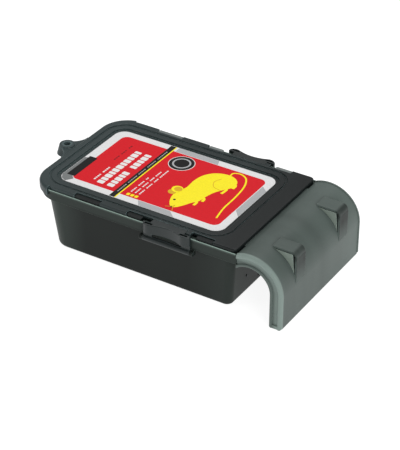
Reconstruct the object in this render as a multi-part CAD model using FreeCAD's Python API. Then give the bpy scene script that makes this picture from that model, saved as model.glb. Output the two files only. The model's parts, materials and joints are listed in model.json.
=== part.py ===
import FreeCAD, Part
import math
import os

V = FreeCAD.Vector

# Frame: +X runs from the closed end to the entrance tunnel, +Z is up, and the
# origin is the middle of the footprint on the floor. All sizes in millimetres.

# Overall
RIM_LENGTH = 229.3
RIM_WIDTH = 150.0
RIM_TOP = 64.7
LID_TOP = 69.4
HOOD_REACH = 47.6

# Tub
TUB_WALL = 2.2
TUB_FLOOR = 2.4
TUB_BOTTOM_ROUND = 3.0
TUB_CAVITY_ROUND = 3.6
CLOSED_END_INSET_TOP = 6.6
CLOSED_END_INSET_BOTTOM = 16.1
DOOR_END_INSET_TOP = 6.0
DOOR_END_INSET_BOTTOM = 10.8
SIDE_INSET_TOP = 4.0
SIDE_INSET_BOTTOM = 7.0
TUB_CORNERS_TOP = (20.0, 8.0)
TUB_CORNERS_BOTTOM = (18.0, 7.0)
RIM_CORNER_CLOSED = 27.0
RIM_CORNER_DOOR = 1.0
FLANGE_THICKNESS = 2.4
SKIRT_DEPTH = 9.5
SKIRT_THICKNESS = 2.0
RIM_ROUND = 1.0
RIM_LIP_WIDTH = 0.8
RIM_LIP_RISE = 1.4
RIM_LIP_ROUND = 0.3
BAIT_WELL_RADIUS = 16.0
BAIT_WELL_HEIGHT = 7.0
BAIT_WELL_WALL = 1.5

EDGE_ROUND = 0.6

# Slots along the long sides, each as a fraction of the rim length and a length
SLOTS = ((0.2817, 29.4), (0.5362, 27.5), (0.835, 24.5))
SLOT_INNER_FROM_EDGE = 6.4

# Lid
LID_EDGE_STEP = 1.2
LID_CORNER_DOOR = 5.0
LID_SKIN = 2.2
LID_WALL = 1.6
LID_ROUND = 1.0
BAND_WIDTH = 7.6
GROOVE_WIDTH = 2.0
GROOVE_DEPTH = 1.4
RING_WIDTH = 5.6
RING_DROP = 0.4
PANEL_DEPTH = 2.2
PANEL_INSET_CLOSED = 12.5
PANEL_INSET_DOOR = 26.3
PANEL_CORNER = 14.0
LOCATING_RIB_DEPTH = 6.0
LOCATING_RIB_THICKNESS = 1.8
LOCATING_RIB_GAP = 1.6

# Label
LABEL_MARGIN = 3.6
LABEL_THICKNESS = 0.3
LABEL_CORNER = 11.0

# Rail round the lid's closed end
RAIL_REACH = 2.6
RAIL_GAP = 0.4
RAIL_WIDTH = 6.0
RAIL_DEPTH = 9.0
RAIL_ROUND = 2.8
RAIL_FOOT_ROUND = 0.8
RAIL_RETURN = 20.0

# Hanging ear
EAR_CENTRE_OUT = 11.2
EAR_RADIUS = 8.0
EAR_HOLE_RADIUS = 3.5
EAR_DEPTH = 9.5
EAR_WEB_DROP = 1.0
EAR_RING_RADIUS = 7.6
EAR_RING_RISE = 0.6
EAR_FOOT_RADIUS = 10.5
EAR_FLARE = 16.0

# Hood
HOOD_FLAT = 13.6
HOOD_TOP = 68.7
HOOD_SKIN = 2.4
HOOD_FRAME_WIDTH = 12.3
HOOD_FRAME_SKIN = 2.2
HOOD_LIP = 0.8
HOOD_END_PROUD = 1.0
HOOD_OUTER_BEAD = 4.6
HOOD_INNER_BEAD = 3.0
HOOD_OUTER_ROUND = 2.4
HOOD_INNER_ROUND = 1.4
HOOD_FOOT_ROUND = 3.0
HOOD_FRAME_SINK = 0.8
HOOD_TONGUE_LENGTH = 7.0
HOOD_TONGUE_THICKNESS = 1.2
HOOD_TONGUE_WIDTH = 116.0
STUD_RADIUS = 1.5
STUD_SPACING = 50.0
BLOCK_CENTRE = 41.0
BLOCK_WIDTH = 16.4
BLOCK_START = 22.5
BLOCK_TOP = 69.4
BLOCK_FOOT = 38.0
BLOCK_ROUND = 5.5
BLOCK_SKIN = 2.0
BLOCK_EDGE = 1.0
BLOCK_SLIT_COVER = 1.8
BLOCK_SLIT_TOP = 0.8
BLOCK_SLIT_FRONT = 2.3
BLOCK_SLIT_START = 3.0
BLOCK_SLIT_CORNER = 2.2

# Side clips
CLIP_CENTRE = 0.679
CLIP_LENGTH = 51.0
CLIP_STANDOFF = 0.4
CLIP_WAIST = 2.2
CLIP_HUMP = 6.0
CLIP_HUMP_FROM_END = 6.5
CLIP_HUMP_RADIUS = 8.0
CLIP_SKIN = 1.8
CLIP_EDGE = 0.8
CLIP_FACE_FOOT = 59.5
CLIP_WINDOW_LENGTH = 32.0
CLIP_NOSE_LENGTH = 37.0
CLIP_NOSE_REACH = 5.8
CLIP_NOSE_THICKNESS = 2.0
CLIP_PIVOT_Z = 51.8
CLIP_PIVOT_OUT = 2.4
CLIP_BARREL_RADIUS = 2.4
TRUNNION_RADIUS = 1.5
RUNNING_GAP = 0.08
LUG_THICKNESS = 3.1
SIDE_GAP = 0.5

# Entrance works inside the tub
DOOR_WIDTH = 36.0
DOOR_SILL = 6.0
DOOR_SPRING = 30.0
FRAME_PLATE = 2.0
FRAME_STANDOFF = 1.8
FRAME_WIDTH = 92.0
FRAME_TOP = 50.0
CHEEK_LENGTH = 82.4
CHEEK_THICKNESS = 2.0
CHEEK_FOOT = 5.0
CHEEK_FOOT_THICKNESS = 1.6
ROOF_THICKNESS = 2.0
ROOF_LIP = 1.0
ROOF_LIP_DEPTH = 3.0
PEG_RADIUS = 1.3
PEG_SPREAD = 81.0
PEG_HEIGHT = 20.4
PEG_LENGTH = 6.6
RAMP_SIDE_GAP = 1.4
RAMP_INNER = 36.0
RAMP_OUTER = 38.0
RAMP_PLATE = 2.0
RAMP_LIFT = 2.0
RAMP_WALL = 1.4
RAMP_WALL_HEIGHT = 5.0
RAMP_TREAD_PITCH = 6.0
RAMP_TREAD_RISE = 0.6
RAMP_TREAD_WIDTH = 1.2
RAMP_REST_ANGLE = 14.0
AXLE_RADIUS = 1.5
AXLE_HEIGHT = 14.0
HUB_RADIUS = 3.8
WEIGHT_LENGTH = 14.0
WEIGHT_WIDTH = 26.0
WEIGHT_THICKNESS = 3.0

# Derived positions
HALF = RIM_WIDTH / 2
SEAM_X = (RIM_LENGTH + EAR_CENTRE_OUT + EAR_FOOT_RADIUS - HOOD_REACH - HOOD_LIP) / 2
CLOSED_X = SEAM_X - RIM_LENGTH
HOOD_X = SEAM_X + HOOD_REACH
EAR_X = CLOSED_X - EAR_CENTRE_OUT
HOOD_RADIUS = HOOD_REACH - HOOD_FLAT
SKIRT_FOOT = RIM_TOP - SKIRT_DEPTH
CLIP_X = CLOSED_X + CLIP_CENTRE * RIM_LENGTH
CLIP_HUMP_AT = CLIP_LENGTH / 2 - CLIP_HUMP_FROM_END
CLIP_PIVOT_Y = HALF + CLIP_PIVOT_OUT
LID_HALF = HALF - LID_EDGE_STEP
SLOT_INNER = HALF - SLOT_INNER_FROM_EDGE
PANEL_FLOOR = LID_TOP - PANEL_DEPTH
CHEEK_INNER = (DOOR_WIDTH + 2 * RAMP_SIDE_GAP) / 2 + 0.6
RAMP_HALF = CHEEK_INNER - RAMP_SIDE_GAP
FRAME_X = SEAM_X - DOOR_END_INSET_BOTTOM - TUB_WALL - FRAME_PLATE - FRAME_STANDOFF
AXLE_X = FRAME_X - RAMP_OUTER - 2.4

# A plan is a rounded rectangle that is symmetric about the XZ plane:
# low x, high x, half width, corner radius at low x, corner radius at high x.
RIM_PLAN = (CLOSED_X, SEAM_X, HALF, RIM_CORNER_CLOSED, RIM_CORNER_DOOR)
LID_PLAN = (CLOSED_X + LID_EDGE_STEP, SEAM_X - LID_EDGE_STEP, LID_HALF,
            RIM_CORNER_CLOSED - LID_EDGE_STEP, LID_CORNER_DOOR)
TUB_TOP_PLAN = (CLOSED_X + CLOSED_END_INSET_TOP, SEAM_X - DOOR_END_INSET_TOP,
                HALF - SIDE_INSET_TOP, *TUB_CORNERS_TOP)
TUB_BOTTOM_PLAN = (CLOSED_X + CLOSED_END_INSET_BOTTOM, SEAM_X - DOOR_END_INSET_BOTTOM,
                   HALF - SIDE_INSET_BOTTOM, *TUB_CORNERS_BOTTOM)
PANEL_PLAN = (CLOSED_X + PANEL_INSET_CLOSED, SEAM_X - PANEL_INSET_DOOR,
              LID_HALF - BAND_WIDTH - GROOVE_WIDTH - RING_WIDTH, PANEL_CORNER, PANEL_CORNER)


def inset(plan, distance):
    """The plan moved inwards all round by a distance (outwards if negative)."""
    x0, x1, half, r0, r1 = plan
    return (x0 + distance, x1 - distance, half - distance,
            max(r0 - distance, 0.4), max(r1 - distance, 0.4))


def plan_wire(plan, z):
    """Closed wire of a plan at height z: four straight sides and four arcs."""
    x0, x1, half, r0, r1 = plan
    corners = ((x1 - r1, -half + r1, r1, -90), (x1 - r1, half - r1, r1, 0),
               (x0 + r0, half - r0, r0, 90), (x0 + r0, -half + r0, r0, 180))
    arcs = []
    for cx, cy, r, start in corners:
        angles = [math.radians(start + step) for step in (0, 45, 90)]
        arcs.append([V(cx + r * math.cos(a), cy + r * math.sin(a), z) for a in angles])
    edges = []
    for index, arc in enumerate(arcs):
        edges.append(Part.Arc(*arc).toShape())
        edges.append(Part.makeLine(arc[2], arcs[(index + 1) % 4][0]))
    return Part.Wire(edges)


def slab(plan, z0, z1):
    """A plan extruded from z0 up to z1."""
    return Part.Face(plan_wire(plan, z0)).extrude(V(0, 0, z1 - z0))


def tapered(plan0, z0, plan1, z1):
    """Solid with straight drafted sides between two plans."""
    return Part.makeLoft([plan_wire(plan0, z0), plan_wire(plan1, z1)], True, True)


def block(x0, x1, y0, y1, z0, z1):
    """Axis-aligned box between two corners."""
    return Part.makeBox(x1 - x0, y1 - y0, z1 - z0, V(x0, y0, z0))


def rod_y(radius, x, z, y0, y1):
    """Cylinder along Y."""
    return Part.makeCylinder(radius, y1 - y0, V(x, y0, z), V(0, 1, 0))


def rod_x(radius, y, z, x0, x1):
    """Cylinder along X."""
    return Part.makeCylinder(radius, x1 - x0, V(x0, y, z), V(1, 0, 0))


def rod_z(radius, x, y, z0, z1):
    """Cylinder along Z."""
    return Part.makeCylinder(radius, z1 - z0, V(x, y, z0), V(0, 0, 1))


def both_sides(shape):
    """A shape together with its mirror image across the XZ plane."""
    return [shape, shape.mirror(V(0, 0, 0), V(0, 1, 0))]


def joined(shapes):
    """One solid from touching or overlapping shapes."""
    return shapes[0].fuse(shapes[1:]).removeSplitter()


def without(shape, tools):
    """A shape with a list of others cut away."""
    return shape.cut(tools)


def rounded_at_z(shape, z, radius):
    """Round the edges that lie at height z."""
    edges = [e for e in shape.Edges
             if abs(e.BoundBox.ZMin - z) < 0.01 and abs(e.BoundBox.ZMax - z) < 0.01]
    return shape.makeFillet(radius, edges)


def slot_spans():
    """Low and high x of each slot."""
    spans = []
    for fraction, length in SLOTS:
        centre = CLOSED_X + fraction * RIM_LENGTH
        spans.append((centre - length / 2, centre + length / 2))
    return spans


def doorway(x0, x1):
    """Arched doorway, the same through the tub wall and the inner frame."""
    half = DOOR_WIDTH / 2
    square = block(x0, x1, -half, half, DOOR_SILL, DOOR_SPRING)
    return square.fuse(rod_x(half, 0, DOOR_SPRING, x0, x1))


def tub_body():
    """Drafted tub with a rounded foot, open at the top."""
    outside = tapered(TUB_BOTTOM_PLAN, 0, TUB_TOP_PLAN, RIM_TOP)
    outside = rounded_at_z(outside, 0, TUB_BOTTOM_ROUND)
    cavity = tapered(inset(TUB_BOTTOM_PLAN, TUB_WALL), TUB_FLOOR,
                     inset(TUB_TOP_PLAN, TUB_WALL), RIM_TOP)
    cavity = rounded_at_z(cavity, TUB_FLOOR, TUB_CAVITY_ROUND)
    return without(outside, [cavity])


def tub_rim():
    """Flat flange round the tub's mouth with a skirt hanging from its edge."""
    flange = slab(RIM_PLAN, RIM_TOP - FLANGE_THICKNESS, RIM_TOP)
    skirt = slab(RIM_PLAN, SKIRT_FOOT, RIM_TOP)
    hollow = slab(inset(RIM_PLAN, SKIRT_THICKNESS), SKIRT_FOOT, RIM_TOP)
    tunnel_side = block(SEAM_X - 3, SEAM_X, -HALF + 12, HALF - 12,
                        SKIRT_FOOT, RIM_TOP - FLANGE_THICKNESS)
    mouth = slab(inset(TUB_TOP_PLAN, TUB_WALL), RIM_TOP - FLANGE_THICKNESS, RIM_TOP)
    ring = without(skirt, [hollow, tunnel_side])
    rim = rounded_at_z(joined([flange, ring]), RIM_TOP, RIM_ROUND)
    return without(rim, [mouth])


def rim_lip():
    """Low lip that stands on the rim's edge along the +Y side, outside the lid."""
    top = RIM_TOP + RIM_LIP_RISE
    lip = block(CLOSED_X + RAIL_RETURN + SIDE_GAP, SEAM_X - RIM_CORNER_DOOR,
                HALF - RIM_LIP_WIDTH, HALF, RIM_TOP - RIM_ROUND, top)
    return rounded_at_z(lip, top, RIM_LIP_ROUND)


def clip_lugs():
    """Two lugs under the skirt that carry one side clip."""
    lugs = []
    start = CLIP_LENGTH / 2 + SIDE_GAP
    for low in (CLIP_X + start, CLIP_X - start - LUG_THICKNESS):
        high = low + LUG_THICKNESS
        root = block(low, high, HALF - SKIRT_THICKNESS, HALF,
                     CLIP_PIVOT_Z - CLIP_BARREL_RADIUS, RIM_TOP - 1)
        arm = block(low, high, HALF - SKIRT_THICKNESS, CLIP_PIVOT_Y,
                    CLIP_PIVOT_Z - CLIP_BARREL_RADIUS, CLIP_PIVOT_Z + CLIP_BARREL_RADIUS)
        eye = rod_x(CLIP_BARREL_RADIUS, CLIP_PIVOT_Y, CLIP_PIVOT_Z, low, high)
        lugs += [root, arm, eye]
    return lugs


def clip_socket():
    """Bore through both lugs of one side for the clip's trunnions."""
    reach = CLIP_LENGTH / 2 + SIDE_GAP + LUG_THICKNESS + 1
    return rod_x(TRUNNION_RADIUS + RUNNING_GAP, CLIP_PIVOT_Y, CLIP_PIVOT_Z,
                 CLIP_X - reach, CLIP_X + reach)


def hood_studs(radius, z0, z1):
    """Row of four studs (or their holes) that fix the hood's tongue to the flange."""
    x = SEAM_X - HOOD_TONGUE_LENGTH / 2
    first = -1.5 * STUD_SPACING * 0.7
    step = STUD_SPACING * 0.7
    return [rod_z(radius, x, first + step * index, z0, z1) for index in range(4)]


def bait_well():
    """Low ring on the tub's floor that keeps loose bait together."""
    x = (TUB_BOTTOM_PLAN[0] + FRAME_X - CHEEK_LENGTH) / 2
    outer = rod_z(BAIT_WELL_RADIUS, x, 0, TUB_FLOOR - 1, TUB_FLOOR + BAIT_WELL_HEIGHT)
    inner = rod_z(BAIT_WELL_RADIUS - BAIT_WELL_WALL, x, 0, TUB_FLOOR,
                  TUB_FLOOR + BAIT_WELL_HEIGHT)
    return without(outer, [inner])


def base_tub():
    """Bottom moulding: tub, rim, clip lugs and hood studs."""
    adds = [tub_body(), tub_rim(), bait_well()]
    for part in clip_lugs() + [rim_lip()]:
        adds += both_sides(part)
    adds += hood_studs(STUD_RADIUS, RIM_TOP - 1, RIM_TOP + HOOD_TONGUE_THICKNESS)
    cuts = both_sides(clip_socket())
    cuts.append(doorway(FRAME_X, SEAM_X))
    wall_x = SEAM_X - DOOR_END_INSET_BOTTOM - 6
    cuts += both_sides(rod_x(PEG_RADIUS + 0.2, PEG_SPREAD / 2, PEG_HEIGHT, wall_x, SEAM_X - 2))
    return without(joined(adds), cuts)


def hood_curve(depth):
    """Points of the hood's arch at a depth below its outer surface."""
    cx = HOOD_X - HOOD_RADIUS
    cz = HOOD_TOP - HOOD_RADIUS
    r = HOOD_RADIUS - depth
    rise = math.sqrt(r * r - (cx - SEAM_X) ** 2)
    turn = math.radians(40)
    return [V(SEAM_X, 0, cz + rise), V(cx + r * math.sin(turn), 0, cz + r * math.cos(turn)),
            V(HOOD_X - depth, 0, cz), V(HOOD_X - depth, 0, 0)]


def hood_strip(outer_depth, inner_depth, y0, y1, level_root=False):
    """Arched strip between two depths, extruded from y0 to y1."""
    a = hood_curve(outer_depth)
    b = hood_curve(inner_depth)
    edges = [Part.Arc(a[0], a[1], a[2]).toShape(), Part.makeLine(a[2], a[3]),
             Part.makeLine(a[3], b[3]), Part.makeLine(b[3], b[2])]
    if level_root:
        cx = HOOD_X - HOOD_RADIUS
        crown = V(cx, 0, HOOD_TOP - inner_depth)
        root = V(SEAM_X, 0, crown.z)
        edges += [Part.Arc(b[2], b[1], crown).toShape(), Part.makeLine(crown, root),
                  Part.makeLine(root, a[0])]
    else:
        edges += [Part.Arc(b[2], b[1], b[0]).toShape(), Part.makeLine(b[0], a[0])]
    face = Part.Face(Part.Wire(edges))
    face.translate(V(0, y0, 0))
    return face.extrude(V(0, y1 - y0, 0))


def corner_block(shrink):
    """Square corner over the arch's bend, at +Y; shrink gives its hollow."""
    x0 = SEAM_X + BLOCK_START + shrink
    x1 = HOOD_X - shrink
    z1 = BLOCK_TOP - shrink
    r = BLOCK_ROUND
    bend = math.sqrt(0.5) * r
    top = V(x1 - r, 0, z1)
    side = V(x1, 0, z1 - r)
    middle = V(x1 - r + bend, 0, z1 - r + bend)
    low = V(x1, 0, BLOCK_FOOT + shrink)
    heart = V(x0, 0, BLOCK_FOOT + shrink)
    edges = [Part.makeLine(V(x0, 0, z1), top), Part.Arc(top, middle, side).toShape(),
             Part.makeLine(side, low), Part.makeLine(low, heart),
             Part.makeLine(heart, V(x0, 0, z1))]
    face = Part.Face(Part.Wire(edges))
    half = BLOCK_WIDTH / 2 - shrink
    face.translate(V(0, BLOCK_CENTRE - half, 0))
    return face.extrude(V(0, 2 * half, 0))


def rounded_block_side(cap, y):
    """Soften a corner block's outer edge along its side at y."""
    edges = [e for e in cap.Edges
             if abs(e.BoundBox.YMin - y) < 0.01 and abs(e.BoundBox.YMax - y) < 0.01
             and e.BoundBox.ZMax > BLOCK_FOOT + 1 and e.BoundBox.XMax > HOOD_X - BLOCK_ROUND - 1]
    return cap.makeFillet(BLOCK_EDGE, edges)


def under_arch(depth):
    """Everything inside the arch at a depth, as a solid."""
    cx = HOOD_X - HOOD_RADIUS
    cz = HOOD_TOP - HOOD_RADIUS
    r = HOOD_RADIUS - depth
    return joined([rod_y(r, cx, cz, -HALF, HALF),
                   block(SEAM_X - 10, cx + r, -HALF, HALF, 0, cz)])


def end_bead(outer_depth, inner_depth, radius):
    """Rounded bead of the hood's end frame between two depths."""
    face_y = HALF + HOOD_END_PROUD
    bead = hood_strip(outer_depth, inner_depth, HALF - HOOD_FRAME_SKIN, face_y)
    edges = [e for e in bead.Edges
             if abs(e.BoundBox.YMax - face_y) < 0.01 and abs(e.BoundBox.YMin - face_y) < 0.01
             and e.BoundBox.XMax > SEAM_X + 1 and e.BoundBox.ZMax > 0.01]
    return bead.makeFillet(radius, edges)


def foot_corner(edge_x, direction):
    """What is cut away to round one corner of the end frame's foot."""
    r = HOOD_FOOT_ROUND
    centre_x = edge_x + direction * r
    low, high = sorted((edge_x, centre_x))
    corner = block(low, high, 0, HALF + 2 * HOOD_END_PROUD, 0, r)
    return without(corner, [rod_y(r, centre_x, r, 0, HALF + 2 * HOOD_END_PROUD)])


def end_frame():
    """Arched frame at the +Y end of the hood: a sunk face between two rounded beads."""
    sunk = hood_strip(0, HOOD_FRAME_WIDTH, HALF - HOOD_FRAME_SKIN,
                      HALF - HOOD_FRAME_SINK, True)
    outer_bead = end_bead(-HOOD_LIP, HOOD_OUTER_BEAD, HOOD_OUTER_ROUND)
    inner_bead = end_bead(HOOD_FRAME_WIDTH - HOOD_INNER_BEAD, HOOD_FRAME_WIDTH, HOOD_INNER_ROUND)
    corners = [foot_corner(HOOD_X + HOOD_LIP, -1), foot_corner(HOOD_X - HOOD_FRAME_WIDTH, 1)]
    return without(joined([sunk, outer_bead, inner_bead]), corners)


def block_slit():
    """Slit through a corner block's +Y side, under its top and behind its front."""
    front = HOOD_X - BLOCK_SLIT_COVER
    top = BLOCK_TOP - BLOCK_SLIT_COVER
    low = top - BLOCK_SLIT_TOP
    start = SEAM_X + BLOCK_START + BLOCK_SLIT_START
    side = BLOCK_CENTRE + BLOCK_WIDTH / 2
    points = [(start, top), (front - BLOCK_SLIT_CORNER, top), (front, top - BLOCK_SLIT_CORNER),
              (front, BLOCK_FOOT + BLOCK_SLIT_START), (front - BLOCK_SLIT_FRONT, low),
              (start, low)]
    outline = [V(x, side - BLOCK_SKIN - SIDE_GAP, z) for x, z in points]
    face = Part.Face(Part.makePolygon(outline + outline[:1]))
    return face.extrude(V(0, BLOCK_SKIN + 2 * SIDE_GAP, 0))


def tunnel_hood():
    """Arched entrance tunnel, open at both ends, with two square corner blocks."""
    shell = hood_strip(0, HOOD_SKIN, -HALF + HOOD_FRAME_SKIN, HALF - HOOD_FRAME_SKIN)
    inside = under_arch(HOOD_SKIN)
    tongue = block(SEAM_X - HOOD_TONGUE_LENGTH, SEAM_X + 3,
                   -HOOD_TONGUE_WIDTH / 2, HOOD_TONGUE_WIDTH / 2,
                   RIM_TOP, RIM_TOP + HOOD_TONGUE_THICKNESS)
    adds = [shell, tongue]
    cuts = hood_studs(STUD_RADIUS + 0.1, RIM_TOP - 1, RIM_TOP + 3)
    adds += both_sides(end_frame())
    cap = corner_block(0)
    for side in (-1, 1):
        cap = rounded_block_side(cap, BLOCK_CENTRE + side * BLOCK_WIDTH / 2)
    adds += both_sides(without(cap, [inside]))
    cuts += both_sides(without(corner_block(BLOCK_SKIN), [under_arch(0)]))
    slit = without(block_slit(), [under_arch(0)])
    for opening in (slit, slit.mirror(V(0, BLOCK_CENTRE, 0), V(0, 1, 0))):
        cuts += both_sides(opening)
    return without(joined(adds), cuts)


def end_rail():
    """Round-edged rail that caps the rim round the lid's closed end."""
    outer = slab(inset(RIM_PLAN, -RAIL_REACH), LID_TOP - RAIL_DEPTH, LID_TOP)
    outer = rounded_at_z(outer, LID_TOP, RAIL_ROUND)
    outer = rounded_at_z(outer, LID_TOP - RAIL_DEPTH, RAIL_FOOT_ROUND)
    inner = slab(inset(RIM_PLAN, RAIL_WIDTH - RAIL_REACH), LID_TOP - RAIL_DEPTH, LID_TOP)
    beyond = block(CLOSED_X + RAIL_RETURN, HOOD_X, -RIM_WIDTH, RIM_WIDTH, 0, LID_TOP)
    return without(outer, [inner, beyond])


def rim_clearance():
    """Room that the tub's rim takes under the lid's rail and ear."""
    return slab(inset(RIM_PLAN, -RAIL_GAP), 0, RIM_TOP)


def ear_web(z0, z1):
    """Web of the hanging ear: a round end that flares into the rail through two hollow arcs."""
    edge = CLOSED_X - RAIL_REACH
    reach = EAR_RADIUS + EAR_FLARE
    bend_x = edge - EAR_FLARE
    wide = math.sqrt(reach ** 2 - (bend_x - EAR_X) ** 2)
    touch_x = EAR_X + EAR_RADIUS * (bend_x - EAR_X) / reach
    touch_y = EAR_RADIUS * wide / reach
    half_turn = math.atan2(wide, EAR_X - bend_x) / 2
    middle_x = bend_x + EAR_FLARE * math.cos(half_turn)
    middle_y = wide - EAR_FLARE * math.sin(half_turn)
    root_x = CLOSED_X + RAIL_REACH
    near = [V(edge, -wide, z0), V(middle_x, -middle_y, z0), V(touch_x, -touch_y, z0)]
    far = [V(touch_x, touch_y, z0), V(middle_x, middle_y, z0), V(edge, wide, z0)]
    tip = V(EAR_X - EAR_RADIUS, 0, z0)
    edges = [Part.Arc(*near).toShape(), Part.Arc(near[2], tip, far[0]).toShape(),
             Part.Arc(*far).toShape(), Part.makeLine(far[2], V(root_x, wide, z0)),
             Part.makeLine(V(root_x, wide, z0), V(root_x, -wide, z0)),
             Part.makeLine(V(root_x, -wide, z0), near[0])]
    return Part.Face(Part.Wire(edges)).extrude(V(0, 0, z1 - z0))


def ear():
    """Hanging ear: flared web, and a coned eye that widens downwards."""
    low = LID_TOP - EAR_DEPTH
    web = ear_web(low, LID_TOP - EAR_WEB_DROP)
    high = LID_TOP + EAR_RING_RISE
    eye = Part.makeCone(EAR_FOOT_RADIUS, EAR_RING_RADIUS, high - low, V(EAR_X, 0, low))
    eye = rounded_at_z(eye, high, EDGE_ROUND)
    return [web, eye]


def lid():
    """Lid: outer band, groove, raised ring, sunk panel, slots and hanging ear."""
    ring_plan = inset(PANEL_PLAN, -RING_WIDTH)
    groove_plan = inset(ring_plan, -GROOVE_WIDTH)
    mouth = inset(TUB_TOP_PLAN, TUB_WALL + LOCATING_RIB_GAP)
    top = slab(LID_PLAN, RIM_TOP, LID_TOP)
    under_skin = LID_TOP - LID_SKIN
    rib = without(slab(mouth, RIM_TOP - LOCATING_RIB_DEPTH, under_skin),
                  [slab(inset(mouth, LOCATING_RIB_THICKNESS),
                        RIM_TOP - LOCATING_RIB_DEPTH, under_skin)])
    relief = [slab(PANEL_PLAN, PANEL_FLOOR, LID_TOP),
              slab(ring_plan, LID_TOP - RING_DROP, LID_TOP),
              without(slab(groove_plan, LID_TOP - GROOVE_DEPTH, LID_TOP),
                      [slab(ring_plan, LID_TOP - GROOVE_DEPTH, LID_TOP)])]
    face = without(top, relief)
    face = rounded_at_z(face, LID_TOP, LID_ROUND)
    face = rounded_at_z(face, LID_TOP - RING_DROP, EDGE_ROUND)
    underside = without(slab(inset(LID_PLAN, LID_WALL), RIM_TOP, under_skin),
                        [slab(inset(PANEL_PLAN, -LID_WALL), RIM_TOP, LID_TOP)])
    body = joined([without(face, [underside]), rib, end_rail()] + ear())
    cuts = [without(rim_clearance(), [slab(mouth, 0, RIM_TOP)])]
    tongue_half = HOOD_TONGUE_WIDTH / 2 + SIDE_GAP
    cuts.append(block(SEAM_X - HOOD_TONGUE_LENGTH - SIDE_GAP, SEAM_X, -tongue_half, tongue_half,
                      RIM_TOP - LOCATING_RIB_DEPTH, RIM_TOP + HOOD_TONGUE_THICKNESS + 0.4))
    for x0, x1 in slot_spans():
        cuts += both_sides(block(x0, x1, SLOT_INNER, HALF, RIM_TOP, LID_TOP))
    nose_half = CLIP_NOSE_LENGTH / 2 + SIDE_GAP
    cuts += both_sides(block(CLIP_X - nose_half, CLIP_X + nose_half,
                             HALF - CLIP_NOSE_REACH - SIDE_GAP, HALF, RIM_TOP, LID_TOP))
    cuts.append(rod_z(EAR_HOLE_RADIUS, EAR_X, 0, LID_TOP - EAR_DEPTH - 1, LID_TOP + 2))
    return without(body, cuts)


def lid_label():
    """Printed sheet stuck in the lid's sunk panel."""
    x0, x1, half, r0, r1 = inset(PANEL_PLAN, LABEL_MARGIN)
    return slab((x0, x1, half, LABEL_CORNER, LABEL_CORNER),
                PANEL_FLOOR, PANEL_FLOOR + LABEL_THICKNESS)


def clip_outline():
    """Plan of a side clip at +Y: two round humps with a hollow arc between them."""
    half = CLIP_LENGTH / 2
    back = HALF + CLIP_STANDOFF
    hump_y = HALF + CLIP_HUMP
    waist_y = HALF + CLIP_WAIST
    end = hump_y - CLIP_HUMP_RADIUS + math.sqrt(CLIP_HUMP_RADIUS ** 2 - CLIP_HUMP_FROM_END ** 2)
    fall = CLIP_HUMP - CLIP_WAIST
    reach = (CLIP_HUMP_AT ** 2 + fall ** 2) / (2 * fall)
    touch_x = CLIP_HUMP_AT * (1 - CLIP_HUMP_RADIUS / reach)
    touch_y = hump_y - CLIP_HUMP_RADIUS * fall / reach

    def at(x, y):
        return V(CLIP_X + x, y, CLIP_FACE_FOOT)

    edges = [Part.makeLine(at(-half, back), at(-half, end)),
             Part.Arc(at(-half, end), at(-CLIP_HUMP_AT, hump_y), at(-touch_x, touch_y)).toShape(),
             Part.Arc(at(-touch_x, touch_y), at(0, waist_y), at(touch_x, touch_y)).toShape(),
             Part.Arc(at(touch_x, touch_y), at(CLIP_HUMP_AT, hump_y), at(half, end)).toShape(),
             Part.makeLine(at(half, end), at(half, back)),
             Part.makeLine(at(half, back), at(-half, back))]
    return Part.Face(Part.Wire(edges))


def side_clip():
    """Side clip at +Y: finger face, nose in the lid's notch, barrel and two trunnions."""
    half = CLIP_LENGTH / 2
    back = HALF + CLIP_STANDOFF
    face = clip_outline().extrude(V(0, 0, LID_TOP - CLIP_FACE_FOOT))
    face = rounded_at_z(face, LID_TOP, CLIP_EDGE)
    web = block(CLIP_X - half, CLIP_X + half, back, back + CLIP_SKIN,
                CLIP_PIVOT_Z, CLIP_FACE_FOOT)
    nose = block(CLIP_X - CLIP_NOSE_LENGTH / 2, CLIP_X + CLIP_NOSE_LENGTH / 2,
                 HALF - CLIP_NOSE_REACH, back + 1, LID_TOP - CLIP_NOSE_THICKNESS, LID_TOP)
    barrel = rod_x(CLIP_BARREL_RADIUS, CLIP_PIVOT_Y, CLIP_PIVOT_Z, CLIP_X - half, CLIP_X + half)
    reach = half + SIDE_GAP + LUG_THICKNESS
    pins = rod_x(TRUNNION_RADIUS, CLIP_PIVOT_Y, CLIP_PIVOT_Z, CLIP_X - reach, CLIP_X + reach)
    windows = [block(CLIP_X - CLIP_WINDOW_LENGTH / 2, CLIP_X + CLIP_WINDOW_LENGTH / 2, HALF,
                     back + CLIP_SKIN, CLIP_PIVOT_Z + CLIP_BARREL_RADIUS + 0.4, CLIP_FACE_FOOT)]
    for centre in (-CLIP_HUMP_AT, CLIP_HUMP_AT):
        windows.append(block(CLIP_X + centre - 4.2, CLIP_X + centre + 4.2,
                             back + CLIP_SKIN - 0.6, HALF + CLIP_HUMP - 1.9,
                             CLIP_FACE_FOOT, LID_TOP))
    return without(joined([face, web, nose, barrel, pins]), windows)


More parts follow.
